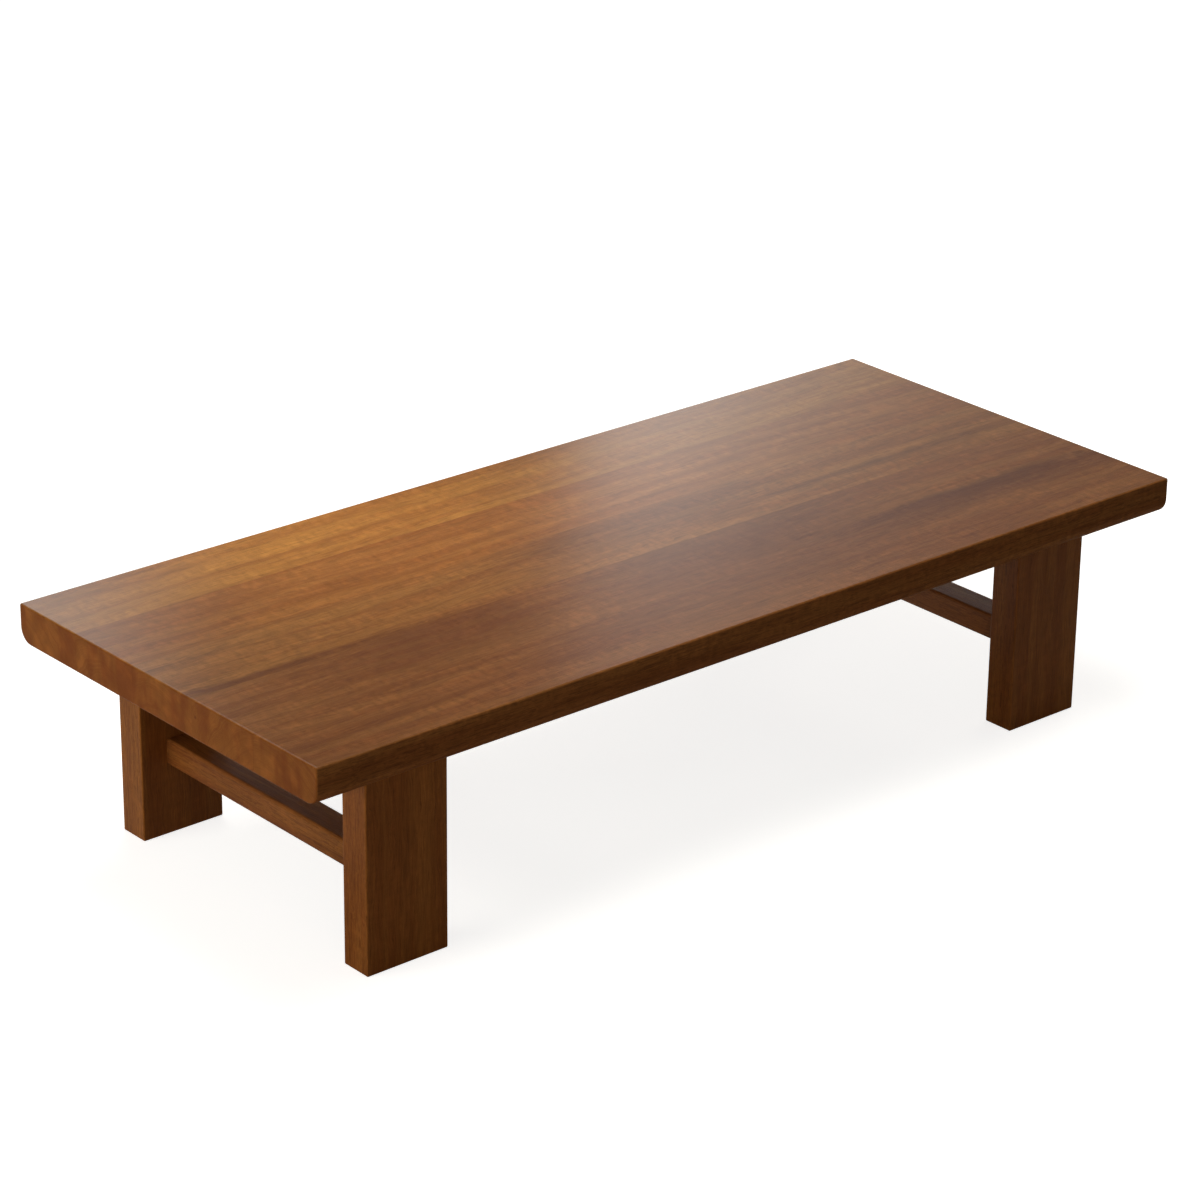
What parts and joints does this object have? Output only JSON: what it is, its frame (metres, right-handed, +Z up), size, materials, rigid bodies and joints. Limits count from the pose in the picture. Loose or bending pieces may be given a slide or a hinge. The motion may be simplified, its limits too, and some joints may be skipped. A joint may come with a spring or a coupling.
{
  "type": "low floor table",
  "caption": "Low rectangular floor table: a thick slab of edge-glued boards with rounded lower long edges on plank-legged end frames with stretchers.",
  "frame": {"origin": "on the floor, below the centre of the table", "axes": "+X along the table's length, +Y from its front to its back, +Z up"},
  "size_m": [1.4, 0.6, 0.32],
  "materials": {
    "top_wood": "satin lacquer over warm brown stain",
    "leg_wood": "satin lacquer over warm brown stain",
    "rail_wood": "satin lacquer over warm brown stain",
    "spline_wood": "bare planed wood",
    "bolt_steel": "zinc plated",
    "insert_brass": "plain turned"
  },
  "bodies": {
    "root": {"top_board_1": "top_wood", "top_board_2": "top_wood", "top_board_3": "top_wood", "top_board_4": "top_wood", "top_board_5": "top_wood", "top_spline_1": "spline_wood", "top_spline_2": "spline_wood", "top_spline_3": "spline_wood", "top_spline_4": "spline_wood", "leg_front_left": "leg_wood", "leg_back_left": "leg_wood", "leg_front_right": "leg_wood", "leg_back_right": "leg_wood", "stretcher_left": "rail_wood", "stretcher_right": "rail_wood", "bearer_left": "rail_wood", "bearer_right": "rail_wood", "slab_bolts": "bolt_steel", "slab_washers": "bolt_steel", "slab_inserts": "insert_brass"}
  },
  "joints": []
}
